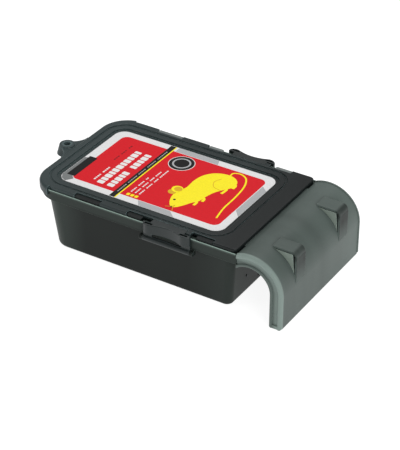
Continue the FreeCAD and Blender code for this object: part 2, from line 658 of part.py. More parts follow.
def entrance_frame():
    """Inner frame: plate behind the doorway and two cheeks that carry the axle."""
    plate = block(FRAME_X, FRAME_X + FRAME_PLATE, -FRAME_WIDTH / 2, FRAME_WIDTH / 2,
                  TUB_FLOOR, FRAME_TOP)
    foot_gap = block(FRAME_X, FRAME_X + FRAME_PLATE, -FRAME_WIDTH / 2, FRAME_WIDTH / 2,
                     TUB_FLOOR, TUB_FLOOR + TUB_CAVITY_ROUND)
    cheek = block(FRAME_X - CHEEK_LENGTH, FRAME_X, CHEEK_INNER, CHEEK_INNER + CHEEK_THICKNESS,
                  TUB_FLOOR, FRAME_TOP)
    foot = block(FRAME_X - CHEEK_LENGTH, FRAME_X, CHEEK_INNER + CHEEK_THICKNESS,
                 CHEEK_INNER + CHEEK_THICKNESS + CHEEK_FOOT,
                 TUB_FLOOR, TUB_FLOOR + CHEEK_FOOT_THICKNESS)
    peg = rod_x(PEG_RADIUS, PEG_SPREAD / 2, PEG_HEIGHT, FRAME_X + 1, FRAME_X + PEG_LENGTH)
    adds = [without(plate, [foot_gap])]
    for part in (cheek, foot, peg):
        adds += both_sides(part)
    cuts = [doorway(FRAME_X - 1, FRAME_X + FRAME_PLATE + 1)]
    cuts.append(rod_y(AXLE_RADIUS + 0.05, AXLE_X, AXLE_HEIGHT, -HALF, HALF))
    return without(joined(adds), cuts)


def entrance_roof():
    """Cover over the two cheeks, with a lip down the outside of each."""
    outer = CHEEK_INNER + CHEEK_THICKNESS
    x0 = FRAME_X - CHEEK_LENGTH
    edge = outer + 0.2 + ROOF_LIP
    top = block(x0, FRAME_X, -edge, edge, FRAME_TOP, FRAME_TOP + ROOF_THICKNESS)
    lip = block(x0, FRAME_X, outer + 0.2, edge, FRAME_TOP - ROOF_LIP_DEPTH, FRAME_TOP)
    return joined([top] + both_sides(lip))


def on_ramp(shape):
    """Turn a shape from the ramp's level frame to the resting slope on the axle."""
    shape.rotate(V(0, 0, 0), V(0, 1, 0), RAMP_REST_ANGLE)
    shape.translate(V(AXLE_X, 0, AXLE_HEIGHT))
    return shape


def see_saw_ramp():
    """Ramp trough with cross treads, low side walls and a hub for the axle."""
    top = RAMP_LIFT + RAMP_PLATE
    plate = block(-RAMP_INNER, RAMP_OUTER, -RAMP_HALF, RAMP_HALF, RAMP_LIFT, top)
    wall = block(-RAMP_INNER, RAMP_OUTER, RAMP_HALF - RAMP_WALL, RAMP_HALF,
                 RAMP_LIFT, top + RAMP_WALL_HEIGHT)
    hub = rod_y(HUB_RADIUS, 0, 0, -RAMP_HALF, RAMP_HALF)
    adds = [plate, hub] + both_sides(wall)
    count = int((RAMP_INNER + RAMP_OUTER) / RAMP_TREAD_PITCH)
    for index in range(count):
        x = -RAMP_INNER + RAMP_TREAD_PITCH * (index + 0.5)
        adds.append(block(x, x + RAMP_TREAD_WIDTH, -RAMP_HALF + RAMP_WALL, RAMP_HALF - RAMP_WALL,
                          top, top + RAMP_TREAD_RISE))
    bore = rod_y(AXLE_RADIUS + RUNNING_GAP, 0, 0, -HALF, HALF)
    return on_ramp(without(joined(adds), [bore]))


def ramp_axle():
    """Steel pin through both cheeks and the ramp's hub."""
    reach = CHEEK_INNER + CHEEK_THICKNESS + 0.8
    return rod_y(AXLE_RADIUS, AXLE_X, AXLE_HEIGHT, -reach, reach)


def ramp_weight():
    """Steel plate under the outer end that swings the ramp back to rest."""
    x1 = RAMP_OUTER - 2
    return on_ramp(block(x1 - WEIGHT_LENGTH, x1, -WEIGHT_WIDTH / 2, WEIGHT_WIDTH / 2,
                         RAMP_LIFT - WEIGHT_THICKNESS, RAMP_LIFT))


def main():
    far_clip = side_clip()
    nodes = {"base_tub": base_tub(), "tunnel_hood": tunnel_hood(), "lid": lid(),
             "lid_label": lid_label(), "side_clip_far": far_clip,
             "side_clip_near": far_clip.mirror(V(0, 0, 0), V(0, 1, 0)),
             "entrance_frame": entrance_frame(), "entrance_roof": entrance_roof(),
             "see_saw_ramp": see_saw_ramp(), "ramp_axle": ramp_axle(),
             "ramp_weight": ramp_weight()}
    os.makedirs("parts", exist_ok=True)
    for name, shape in nodes.items():
        shape.exportStep(os.path.join("parts", name + ".step"))
        box = shape.optimalBoundingBox()
        print(name, len(shape.Solids), shape.isValid(), round(shape.Volume / 1000, 2),
              [round(v, 1) for v in (box.XMin, box.XMax, box.YMin, box.YMax, box.ZMin, box.ZMax)])


main()
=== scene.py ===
# %% [markdown]
# # A multi-catch mouse trap, from moulded shell to printed label
# The trap is a handful of polypropylene mouldings: a drafted tub, a lid with a sunk panel, an
# arched entrance tunnel, two side clips and the see-saw works inside. The shapes come in as a
# fixed frame, so this lesson is about finishes, print and the small marks that moulding leaves.

# %% Load the frame
import json
import math

import bmesh
import bpy
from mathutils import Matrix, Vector


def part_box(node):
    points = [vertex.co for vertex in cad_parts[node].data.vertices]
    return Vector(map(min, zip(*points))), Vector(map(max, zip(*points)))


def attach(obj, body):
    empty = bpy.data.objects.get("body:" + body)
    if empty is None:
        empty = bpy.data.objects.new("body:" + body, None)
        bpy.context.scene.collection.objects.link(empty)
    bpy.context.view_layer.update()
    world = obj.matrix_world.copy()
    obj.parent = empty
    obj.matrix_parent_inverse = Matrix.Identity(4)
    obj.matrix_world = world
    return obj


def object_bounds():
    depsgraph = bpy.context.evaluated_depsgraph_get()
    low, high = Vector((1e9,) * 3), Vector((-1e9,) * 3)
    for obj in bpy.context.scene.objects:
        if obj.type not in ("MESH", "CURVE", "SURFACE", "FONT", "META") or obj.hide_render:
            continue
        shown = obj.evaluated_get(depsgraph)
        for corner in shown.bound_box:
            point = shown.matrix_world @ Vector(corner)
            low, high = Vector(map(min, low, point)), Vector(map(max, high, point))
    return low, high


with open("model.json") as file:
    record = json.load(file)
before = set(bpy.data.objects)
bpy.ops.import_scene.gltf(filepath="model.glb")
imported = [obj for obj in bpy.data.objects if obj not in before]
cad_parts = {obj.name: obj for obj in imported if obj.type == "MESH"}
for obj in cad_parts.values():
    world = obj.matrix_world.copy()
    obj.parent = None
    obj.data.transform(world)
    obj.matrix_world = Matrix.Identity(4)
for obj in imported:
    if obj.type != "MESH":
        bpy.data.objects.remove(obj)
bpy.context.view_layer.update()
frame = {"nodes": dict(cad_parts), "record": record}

MM = 0.001

# %% [markdown]
# ## Shader maths that reads like Python
# A material is a small sheet of sums. Wrapping a socket in a class with operators lets us write
# `1 - wear * 0.5` and get the Math nodes for it. Anything that isn't plain arithmetic, such as a
# noise or a colour mix, goes through one method that sets a node up and wires its sockets.


# %% The socket wrapper
class Wire:
    """An output socket that can be used in sums."""

    def __init__(self, tree, socket=None):
        self.tree, self.socket = tree, socket

    def node(self, kind, settings=None, inputs=None, output=0):
        """Add a node: settings first, then values or links for its sockets."""
        made = self.tree.nodes.new(kind)
        for name, value in (settings or {}).items():
            setattr(made, name, value)
        for name, value in (inputs or {}).items():
            if isinstance(value, Wire):
                self.tree.links.new(value.socket, made.inputs[name])
            else:
                made.inputs[name].default_value = value
        return Wire(self.tree, made.outputs[output])

    def sum_with(self, operation, first, second):
        """One Math node on two wires or numbers."""
        return self.node("ShaderNodeMath", {"operation": operation}, {0: first, 1: second})

    def __add__(self, other):
        return self.sum_with("ADD", self, other)

    def __radd__(self, other):
        return self.sum_with("ADD", other, self)

    def __sub__(self, other):
        return self.sum_with("SUBTRACT", self, other)

    def __rsub__(self, other):
        return self.sum_with("SUBTRACT", other, self)

    def __mul__(self, other):
        return self.sum_with("MULTIPLY", self, other)

    def __rmul__(self, other):
        return self.sum_with("MULTIPLY", other, self)

    def vector_with(self, operation, other=(0, 0, 0), output=0):
        """One Vector Math node on this wire and a wire or a vector."""
        return self.node("ShaderNodeVectorMath", {"operation": operation},
                         {0: self, 1: other}, output)

    def blended(self, low, high):
        """Colour mix from low to high, with this wire as the factor."""
        return self.node("ShaderNodeMix", {"data_type": "RGBA"},
                         {0: self, 6: low, 7: high}, output=2)

    def ramped(self, start, end):
        """This value stretched so that start gives 0 and end gives 1, and clamped."""
        return self.node("ShaderNodeMapRange", {"clamp": True},
                         {"Value": self, "From Min": start, "From Max": end})


print("Wire can", [name for name, value in vars(Wire).items() if callable(value)])

# %% [markdown]
# ## Colours and fresh sheets
# Every recipe below starts in the same way: a new material, its shader, and a Wire to build on.
# Colours are kept as plain tuples, so that a lighter or darker one is worked out in Python.


# %% Colour and sheet helpers
def rgba(red, green, blue):
    """An opaque colour."""
    return (red, green, blue, 1.0)


def tinted(colour, gain):
    """A colour made lighter or darker."""
    return rgba(*[min(channel * gain, 1.0) for channel in colour[:3]])


def fresh_sheet(name):
    """A new material, its shader, and a Wire to build on."""
    material = bpy.data.materials.new(name)
    material.use_nodes = True
    shader = material.node_tree.nodes["Principled BSDF"]
    return material, shader, Wire(material.node_tree)


def plug(wire, shader, socket):
    """Link a wire to one of the shader's sockets."""
    wire.tree.links.new(wire.socket, shader.inputs[socket])


def object_place(sheet):
    """Where a point of the surface lies in the piece's own frame, in metres."""
    return sheet.node("ShaderNodeTexCoord", output=3)


def noise(place, scale, detail, **others):
    """Cloudy noise round 0.5, with so many clouds to the metre."""
    return place.node("ShaderNodeTexNoise", {},
                      {"Vector": place, "Scale": scale, "Detail": detail, **others})


print("half of a mid grey", tinted(rgba(0.5, 0.5, 0.5), 0.5))

# %% [markdown]
# ## Moulded polypropylene
# The mouldings have a spark-eroded grain that breaks up the light, a slow mottle where the melt
# cooled unevenly, and pale edges that are partly worn by handling and partly a painted highlight.
# Noises of several sizes give the grain, the flow, the mottle and the rubbing. The edge mask
# compares the true normal with a rounded one, so it finds edges wherever they are, and the
# rounded normal also softens each edge a little. Where light or shade is painted into a
# moulding's colour, a mask that rises along one direction carries its colour from the plain
# plastic to a lighter or darker one.

# %% The plastic recipe
GRAIN_SCALE, RUB_SCALE, FLOW_SCALE, MOTTLE_SCALE = 1500.0, 160.0, 28.0, 9.0
EDGE_SAMPLES = 6
PLASTIC_RELIEF = 0.02 * MM
STREAK_SCALE = (3, 50, 3)
STREAK_GAIN = 1.6
EDGE_BAND, RUB_BAND = (0.01, 0.16), (0.2, 0.55)
FLOW_BAND, MOTTLE_BAND, STREAK_BAND = (0.3, 0.7), (0.35, 0.65), (0.35, 0.7)
FLOW_DULLING, GRAIN_DULLING, EDGE_POLISH = 0.12, 0.08, 0.08
RUB_RELIEF = 0.4


def region(place, keep, start, end, centre=(0, 0, 0), both_ways=False):
    """Mask that rises from start to end, in mm from a centre, along the directions kept."""
    kept = place.vector_with("SUBTRACT", tuple(c * MM for c in centre)).vector_with(
        "MULTIPLY", keep)
    ahead = kept.vector_with("ABSOLUTE" if both_ways else "MAXIMUM")
    return ahead.vector_with("LENGTH", output=1).ramped(start * MM, end * MM)


def moulded(name, colour, roughness, grain=0.25, mottle=0.12, wear_and_highlight_share=0.5, edge=0.45,
            specular=0.5, edge_wear_and_highlight_gain=3.0, painted_light_fades=(), streaks=0.0):
    """Injection-moulded plastic: mottled colour, fine grain, edges pale with wear and painted
    highlight.

    A fade is painted light or shade: a gain on the colour and the masks, as region() takes them,
    that limit it."""
    material, shader, sheet = fresh_sheet(name)
    place = object_place(sheet)
    fine = noise(place, GRAIN_SCALE, 2.0)
    flow = noise(place, FLOW_SCALE, 4.0, Distortion=0.6)
    slow = noise(place, MOTTLE_SCALE, 2.0)
    rubs = noise(place, RUB_SCALE, 3.0)
    rounded = sheet.node("ShaderNodeBevel", {"samples": EDGE_SAMPLES}, {"Radius": edge * MM})
    true_normal = sheet.node("ShaderNodeNewGeometry", output=1)
    along = rounded.vector_with("DOT_PRODUCT", true_normal, output=1)
    edges = (1 - along).ramped(*EDGE_BAND) * rubs.ramped(*RUB_BAND)
    shade = flow.ramped(*FLOW_BAND) * 0.5 + slow.ramped(*MOTTLE_BAND) * 0.5
    body = shade.blended(tinted(colour, 1 - mottle), tinted(colour, 1 + mottle))
    # Painted light and shade: each fade lightens or darkens the colour where its masks rise.
    for gain, *masks in painted_light_fades:
        painted_light_mask = region(place, *masks[0])
        for mask in masks[1:]:
            painted_light_mask = painted_light_mask * region(place, *mask)
        body = painted_light_mask.blended(body, tinted(colour, gain))
    if streaks:
        drawn_out = sheet.node("ShaderNodeMapping", {},
                               {"Vector": place, "Scale": STREAK_SCALE})
        lines = noise(drawn_out, 1.0, 4.0)
        drawn = lines.ramped(*STREAK_BAND) * streaks
        body = drawn.blended(body, tinted(colour, STREAK_GAIN))
    # Pale edges: partly wear, partly a painted highlight along every edge.
    pale = (edges * wear_and_highlight_share).blended(body, tinted(colour, edge_wear_and_highlight_gain))
    plug(pale, shader, "Base Color")
    dull = roughness + (flow - 0.5) * FLOW_DULLING + (fine - 0.5) * GRAIN_DULLING
    plug(dull - edges * EDGE_POLISH, shader, "Roughness")
    relief = {"Height": fine + rubs * RUB_RELIEF, "Strength": grain,
              "Distance": PLASTIC_RELIEF, "Normal": rounded}
    plug(sheet.node("ShaderNodeBump", {}, relief), shader, "Normal")
    shader.inputs["Specular IOR Level"].default_value = specular
    return material


print("plastic noises, clouds to the metre", GRAIN_SCALE, RUB_SCALE, FLOW_SCALE, MOTTLE_SCALE)

# %% [markdown]
# ## Landmarks on the mouldings
# The masks and the added pieces are placed from the mouldings' own sizes, so they are read off
# the frame here. The tunnel's outer quarter is an arch round one centre, and its end flange
# carries a bead that follows that arch.

# %% Landmarks
CLOSED_END, TUNNEL_END, UP = (-1, 0, 0), (1, 0, 0), (0, 0, 1)
hood_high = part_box("tunnel_hood")[1]
lid_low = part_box("lid")[0]
ARCH_RADIUS, HOOD_LIP = 34.0, 0.8
EAR_FROM_END = 10.5
FACE_X = hood_high.x / MM - HOOD_LIP
ARCH_CENTRE = (FACE_X - ARCH_RADIUS, 0.0, hood_high.z / MM - HOOD_LIP - ARCH_RADIUS)
EAR_CENTRE = (lid_low.x / MM + EAR_FROM_END, 0.0, 0.0)
# Zones of painted light: a painted highlight on the near flange and its outer bead, painted shade
# at the blocks' top front corners.
NEAR_END = ((0, -1, 0), 70.5, 73.5)
OUTER_BEAD = ((1, 0, 1), 24.5, 29.5, ARCH_CENTRE)
BLOCK_CORNER_SHADE_ZONE = (((1, 0, 0), 143.0, 146.0), ((0, 0, 1), 59.0, 62.0))
print("arch centre", ARCH_CENTRE, "ear centre", EAR_CENTRE)

# %% [markdown]
# ## The tub and the lid
# Both are nearly black. Painted light greys the tub toward its two ends, more on the
# corners beside the tunnel, and step by step toward the top: skirt, rim, and a painted
# highlight on the thin lip under the lid. Painted light greys the lid toward the closed end,
# painted shade keeps it dark by the tunnel, and a painted highlight rings the ear's hole.

# %% Tub and lid plastic
# Painted light on the tub: lighter toward both ends and up the skirt and rim, with a painted
# highlight on the lip.
TUB_PAINTED_LIGHT = (
    (5.0, (CLOSED_END, 70.0, 124.0)),
    (2.3, (TUNNEL_END, 45.0, 93.0)),
    (2.8, (TUNNEL_END, 93.5, 95.0)),
    (2.8, (UP, 54.0, 58.0)),
    (7.0, (UP, 63.6, 64.8)),
    (36.0, (UP, 65.2, 65.9)),
)
# Painted light on the lid: lighter toward the closed end, painted shade by the tunnel, and a
# painted highlight ringing the ear's hole.
LID_PAINTED_LIGHT = (
    (1.75, (CLOSED_END, 40.0, 135.0)),
    (0.26, (TUNNEL_END, 30.0, 88.0)),
    (3.6, ((1, 1, 0), 6.2, 4.6, EAR_CENTRE, True)),
)
FINISHES = {
    "tub_plastic": moulded("tub_polypropylene", rgba(0.0075, 0.0100, 0.0088), 0.44,
                           specular=0.14, wear_and_highlight_share=0.7, edge_wear_and_highlight_gain=14.0, painted_light_fades=TUB_PAINTED_LIGHT),
    "lid_plastic": moulded("lid_polypropylene", rgba(0.0195, 0.0280, 0.0285), 0.38, grain=0.18,
                           specular=0.2, wear_and_highlight_share=0.85, edge=0.6, edge_wear_and_highlight_gain=10.0, painted_light_fades=LID_PAINTED_LIGHT),
}
print("tub fades", len(TUB_PAINTED_LIGHT), "lid fades", len(LID_PAINTED_LIGHT))

# %% [markdown]
# ## The tunnel's family
# The tunnel is a paler, greener batch of the same plastic, with faint streaks drawn down it by
# the flow. Painted light makes it lighter toward the far side, a painted highlight lies on the
# near flange and its bead, and painted shade darkens the top front corners of its blocks. The
# blocks' straps and webs are parts of this moulding with a finish of their own: straps carry
# painted shade that deepens upward, and webs are a pale copy of the plastic with painted light.

# %% Tunnel plastic
HOOD_COLOUR = rgba(0.064, 0.081, 0.074)
# Painted light on the tunnel: lighter toward the far side, painted highlight on the near flange,
# painted shade at the block corners.
HOOD_PAINTED_LIGHT = ((1.5, ((0, 1, 0), 0.0, 70.0)), (1.2, NEAR_END), (3.5, NEAR_END, OUTER_BEAD),
              (0.35, *BLOCK_CORNER_SHADE_ZONE))
# Painted shade on the block straps, deepening upward.
STRAP_PAINTED_SHADE = ((0.15, (UP, 38.0, 55.0)),)
FINISHES["hood_plastic"] = moulded("tunnel_polypropylene", HOOD_COLOUR, 0.42, specular=0.16,
                                   edge_wear_and_highlight_gain=3.2, streaks=0.35, painted_light_fades=HOOD_PAINTED_LIGHT)
PAINTED_SHADE_STRAP_FINISH = moulded("painted_shade_strap", HOOD_COLOUR, 0.42, edge=0.8, streaks=0.35,
                       specular=0.1, painted_light_fades=STRAP_PAINTED_SHADE)
# A pale, lit copy of the tunnel plastic: painted light on the blocks' webs.
PAINTED_LIGHT_WEB_FINISH = moulded("painted_light_web", rgba(0.19, 0.23, 0.20), 0.40, grain=0.15)
print("tunnel plastics", FINISHES["hood_plastic"].name, PAINTED_SHADE_STRAP_FINISH.name, PAINTED_LIGHT_WEB_FINISH.name)

# %% [markdown]
# ## Clips, works and lugs
# The clips are a harder, glossier moulding, so they show more of what is round them. The works
# inside are plain and matt, and the ramp has a coarser grain for grip. Of the lugs in the lid's
# slots, the far ones are pale with a painted reflection, and the near ones keep the tub's dark
# grain.

# %% Clip, works and lug plastic
FINISHES["clip_plastic"] = moulded("clip_polypropylene", rgba(0.012, 0.017, 0.017), 0.34,
                                   grain=0.15, specular=0.36, edge_wear_and_highlight_gain=6.0)
FINISHES["insert_plastic"] = moulded("insert_polypropylene", rgba(0.03, 0.032, 0.031), 0.5)
FINISHES["ramp_plastic"] = moulded("ramp_polypropylene", rgba(0.05, 0.058, 0.052), 0.55,
                                   grain=0.4)
# A pale copy of the plastic: painted reflection on the far lugs.
PAINTED_REFLECTION_LUG_FINISH = moulded("painted_reflection_lug", rgba(0.16, 0.18, 0.175), 0.30, grain=0.12)
NEAR_LUG_FINISH = moulded("lug_polypropylene", rgba(0.007, 0.009, 0.009), 0.45, specular=0.15,
                          edge_wear_and_highlight_gain=9.0)
MARK_FINISH = moulded("polished_mark", rgba(0.030, 0.034, 0.032), 0.25, grain=0.1)
print("plastics so far", sorted(FINISHES))

# %% [markdown]
# ## Steel for the pin and the weight
# The axle is drawn wire, with fine lines round it, and the weight is sheared plate with a dull
# zinc coat. Both are plain metal with a stretched noise for the drawing lines or the spangle.

# %% The steel recipe
STEEL_SCALE = 300.0
STEEL_RELIEF = 0.02 * MM
ROUND_THE_PIN, EVEN = (6.0, 0.3, 6.0), (1.0, 1.0, 1.0)


def steel(name, colour, roughness, stretch):
    """Bare or zinc-coated steel with a directional or spangled surface."""
    material, shader, sheet = fresh_sheet(name)
    lined = sheet.node("ShaderNodeMapping", {},
                       {"Vector": object_place(sheet), "Scale": stretch})
    lines = noise(lined, STEEL_SCALE, 3.0)
    plug(lines.ramped(0.3, 0.7).blended(tinted(colour, 0.75), colour), shader, "Base Color")
    plug(roughness + (lines - 0.5) * 0.3, shader, "Roughness")
    relief = {"Height": lines, "Strength": 0.2, "Distance": STEEL_RELIEF}
    plug(sheet.node("ShaderNodeBump", {}, relief), shader, "Normal")
    shader.inputs["Metallic"].default_value = 1.0
    return material


FINISHES["pin_steel"] = steel("drawn_steel", rgba(0.62, 0.62, 0.60), 0.28, ROUND_THE_PIN)
FINISHES["weight_steel"] = steel("zinc_coated_steel", rgba(0.48, 0.49, 0.50), 0.42, EVEN)
print("steels", FINISHES["pin_steel"].name, FINISHES["weight_steel"].name)

# %% [markdown]
# ## The printed sheet
# The label is a laminated sheet: white stock under a clear satin film. It lies a little uneven
# on its glue, so its sheen waves slightly. The inks are laid over it as thin films with their
# own shape, which keeps every edge of the print crisp from any distance.

# %% Paper and ink recipe
FIBRE_SCALE, WAVE_SCALE = 700.0, 26.0
SATIN_ROUGHNESS, SATIN_SPECULAR = 0.34, 0.1
COAT_WEIGHT, COAT_ROUGHNESS = 0.03, 0.2
SHEET_RELIEF = 0.12 * MM


def printed(name, colour):
    """Ink or paper under a satin film."""
    material, shader, sheet = fresh_sheet(name)
    place = object_place(sheet)
    fibre = noise(place, FIBRE_SCALE, 3.0)
    waves = noise(place, WAVE_SCALE, 1.0)
    speckled = fibre.ramped(0.3, 0.7).blended(tinted(colour, 0.94), tinted(colour, 1.03))
    plug(speckled, shader, "Base Color")
    plug(SATIN_ROUGHNESS + (fibre - 0.5) * 0.1, shader, "Roughness")
    relief = {"Height": waves + fibre * 0.03, "Strength": 0.3, "Distance": SHEET_RELIEF}
    plug(sheet.node("ShaderNodeBump", {}, relief), shader, "Normal")
    shader.inputs["Specular IOR Level"].default_value = SATIN_SPECULAR
    shader.inputs["Coat Weight"].default_value = COAT_WEIGHT
    shader.inputs["Coat Roughness"].default_value = COAT_ROUGHNESS
    return material


FINISHES["label_sheet"] = printed("label_stock", rgba(0.75, 0.75, 0.75))
INKS = {
    "red": printed("red_ink", rgba(0.66, 0.008, 0.016)),
    "dark_red": printed("dark_red_ink", rgba(0.24, 0.008, 0.012)),
    "black": printed("black_ink", rgba(0.010, 0.010, 0.010)),
    "yellow": printed("yellow_ink", rgba(0.96, 0.82, 0.02)),
    "amber": printed("amber_ink", rgba(0.70, 0.42, 0.02)),
    "smoke": printed("smoke_film", rgba(0.42, 0.43, 0.44)),
    "grey": printed("grey_film", rgba(0.19, 0.20, 0.20)),
    "pale": printed("pale_ink", rgba(0.80, 0.80, 0.78)),
}
print("inks", sorted(INKS))

# %% [markdown]
# ## Dress the frame
# Each moulding and each steel part in the frame names the finish that it wants, so dressing
# them is one loop. The shapes themselves are left as they came.

# %% Dress the frame's own pieces
for entry in frame["record"]["subparts"]:
    node = frame["nodes"][entry["node"]]
    node.data.materials.clear()
    node.data.materials.append(FINISHES[entry["material_slot"]])

# %% [markdown]
# ## Thin plates from outlines
# Print, lugs, webs and pads are all thin plates: closed outlines that are filled and given a
# thickness. One helper takes the outlines, a rule that places a flat point in space, and the
# lift that makes the thickness. Three rules cover a level plate and the two upright ones.


# %% Plate helpers
def plate(name, outlines, place, lift, finish, body):
    """A piece made of flat outlines, each placed in space and given the lift as thickness."""
    mesh = bpy.data.meshes.new(name)
    build = bmesh.new()
    for outline in outlines:
        ring = [build.verts.new(place(x, y)) for x, y in outline]
        raised = bmesh.ops.extrude_face_region(build, geom=[build.faces.new(ring)])
        tops = [v for v in raised["geom"] if isinstance(v, bmesh.types.BMVert)]
        bmesh.ops.translate(build, verts=tops, vec=lift)
    bmesh.ops.recalc_face_normals(build, faces=build.faces)
    bmesh.ops.triangulate(build, faces=build.faces)
    build.to_mesh(mesh)
    build.free()
    piece = bpy.data.objects.new(name, mesh)
    bpy.context.collection.objects.link(piece)
    mesh.materials.append(finish)
    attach(piece, body)


def level_at(z):
    """Rule for a plate that lies level at a height in mm."""
    return lambda x, y: (x * MM, y * MM, z * MM)


def along_at(y):
    """Rule for an upright plate that runs along the trap, y mm from its middle."""
    return lambda x, z: (x * MM, y * MM, z * MM)


def across_at(x):
    """Rule for an upright plate that runs across the trap, x mm from its middle."""
    return lambda y, z: (x * MM, y * MM, z * MM)


print("a level point", level_at(1.0)(2.0, 3.0))

# %% [markdown]
# ## Outlines
# A few shapes of outline serve for everything: a rounded panel, an oval, a smooth closed loop
# through given points, and a ribbon of even width along a smooth path. The smooth ones pass
# through every point that they are given, so a drawing can be changed a point at a time.


# %% Outline helpers
def rounded_panel(x0, x1, y0, y1, radius, steps=8):
    """Outline of a rectangle with rounded corners."""
    points = []
    corners = ((x1 - radius, y0 + radius, -90), (x1 - radius, y1 - radius, 0),
               (x0 + radius, y1 - radius, 90), (x0 + radius, y0 + radius, 180))
    for cx, cy, start in corners:
        for step in range(steps + 1):
            turn = math.radians(start + 90 * step / steps)
            points.append((cx + radius * math.cos(turn), cy + radius * math.sin(turn)))
    return points


def oval(cx, cy, across, up, steps=28):
    """Outline of an ellipse with the given half sizes."""
    turns = [2 * math.pi * i / steps for i in range(steps)]
    return [(cx + across * math.cos(turn), cy + up * math.sin(turn)) for turn in turns]


def disc(cx, cy, radius, steps=40):
    """Outline of a circle."""
    return oval(cx, cy, radius, radius, steps)


def smooth_point(four, t):
    """Point at fraction t between the middle two of four points, on a smooth curve."""
    p0, p1, p2, p3 = (Vector(point) for point in four)
    return 0.5 * ((2 * p1) + (p2 - p0) * t + (2 * p0 - 5 * p1 + 4 * p2 - p3) * t * t
                  + (3 * p1 - p0 - 3 * p2 + p3) * t * t * t)


def smooth_loop(points, steps=6):
    """A closed curve that passes smoothly through the points."""
    count = len(points)
    curve = []
    for index in range(count):
        four = [points[(index + shift) % count] for shift in (-1, 0, 1, 2)]
        curve += [tuple(smooth_point(four, step / steps)) for step in range(steps)]
    return curve


def stroke(points, width, steps=8):
    """Outline of a line of even width along a smooth path."""
    padded = [points[0]] + list(points) + [points[-1]]
    path = []
    for index in range(1, len(padded) - 2):
        path += [smooth_point(padded[index - 1:index + 3], step / steps) for step in range(steps)]
    path.append(Vector(points[-1]))
    sides = ([], [])
    for index, spot in enumerate(path):
        ahead = path[min(index + 1, len(path) - 1)] - path[max(index - 1, 0)]
        across = Vector((-ahead.y, ahead.x)).normalized() * width / 2
        sides[0].append(tuple(spot + across))
        sides[1].append(tuple(spot - across))
    return sides[0] + sides[1][::-1]


print("points in a disc", len(disc(0.0, 0.0, 1.0)))

# %% [markdown]
# ## Ink on the sheet
# A film is a plate of ink on the lid's sheet, with its points in millimetres from the sheet's
# middle, so the artwork can be read and changed on its own. Where inks overlap, each lies one
# film higher than the last, because two faces at one height would flicker through each other.

# %% Film helper
label_low, label_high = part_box("lid_label")
SHEET_X = (label_low.x + label_high.x) / 2
SHEET_TOP = label_high.z
half_length = (label_high.x - label_low.x) / 2 / MM
half_width = (label_high.y - label_low.y) / 2 / MM
FILM = 0.04 * MM


def film(name, outlines, ink, layer=1):
    """Printed shapes in mm from the sheet's middle, laid on the lid's sheet as one thin film."""
    low = SHEET_TOP + (layer - 1) * FILM

    def place(x, y):
        return (SHEET_X + x * MM, y * MM, low)

    plate(name, outlines, place, (0, 0, FILM), INKS[ink], "lid")


print("sheet middle x", round(SHEET_X, 4), "half size", round(half_length, 2),
      round(half_width, 2))

# %% [markdown]
# ## The label's fields
# A red field is crossed by a black band with a yellow hairline. A small black tab sits at the
# closed end, and a dark badge of plain rings is in the upper field. All of them are bare: the
# print keeps its layout and its weight of colour, and says nothing.

# %% Fields, band, tab and badge
END_BORDER, TUNNEL_END_BORDER, SIDE_BORDER = 10.0, 8.2, 8.3
FIELD_CORNER, BAND_CORNER, TAB_CORNER = 7.0, 0.3, 0.8
BAND_AT, BAND_HALF, HAIRLINE = -28.4, 2.9, 1.3
BAND_SHORT = 0.5
TAB = (-88.0, -79.0, -43.5, -4.5)
BADGE_AT = (-4.3, 31.0)
BADGE = (("badge_rim", 13.4, "pale"), ("badge", 12.7, "black"), ("badge_rings", 9.4, "smoke"),
         ("badge_heart", 7.6, "black"))
field_y = half_width - SIDE_BORDER
field_end = half_length - TUNNEL_END_BORDER
band_y = half_width - BAND_SHORT
band_edge = BAND_AT + BAND_HALF

film("label_field", [rounded_panel(-half_length + END_BORDER, field_end, -field_y, field_y,
                                   FIELD_CORNER)], "red")
film("label_band", [rounded_panel(BAND_AT - BAND_HALF, band_edge, -band_y, band_y,
                                  BAND_CORNER)], "black", 2)
film("label_band_line", [rounded_panel(band_edge, band_edge + HAIRLINE, -band_y, band_y,
                                       BAND_CORNER)], "yellow", 2)
film("label_tab", [rounded_panel(*TAB, TAB_CORNER)], "black", 2)
for layer, (part, radius, ink) in enumerate(BADGE, start=2):
    film("label_" + part, [disc(*BADGE_AT, radius)], ink, layer)
print("label fields laid, field half width", field_y)

# %% [markdown]
# ## Painted reflections on the border
# The white border isn't even: grey patches of painted reflection lie on the film. Each
# patch is one flat outline between the red field and the edge of the sheet.

# %% Painted reflection patches
edge_x, edge_y = half_length - 0.3, half_width - 0.3
beside_field = field_y + 0.6
beyond_field = field_end + 0.8
# Patches of painted reflection: grey where the film mirrors darker surroundings.
PAINTED_REFLECTIONS = (
    ("corner", "grey", [(-edge_x + 9, -edge_y), (-edge_x + 14, -field_y - 1),
                        (-edge_x + 9.2, -field_y + 4), (-edge_x + 9.2, -5.0), (-edge_x, -9.0),
                        (-edge_x, -edge_y + 9), (-edge_x + 3, -edge_y + 3)]),
    ("near", "smoke", [(2, -edge_y), (41, -edge_y), (33, -beside_field), (-3, -beside_field)]),
    ("far", "smoke", [(-22, beside_field), (27, beside_field), (24, edge_y), (-22, edge_y)]),
    ("end", "smoke", [(beyond_field, -14), (edge_x, -22), (edge_x, 30), (beyond_field, 36)]),
)
for part, ink, outline in PAINTED_REFLECTIONS:
    film("painted_reflection_patch_" + part, [outline], ink)
print("dull patches", [part for part, _, _ in PAINTED_REFLECTIONS])

# %% [markdown]
# ## A plain rodent
# The picture on the sheet is a simple rodent, drawn as a child's wooden toy might be: a round
# back, a flat belly, two ears, four short legs, and a ribbon of even width for the tail. It is
# yellow, with amber for the shaded lines and black for the eye and nose. The points are given
# as they are read, across and up from the line that it stands on, and one rule tilts them and
# turns them on to the sheet.

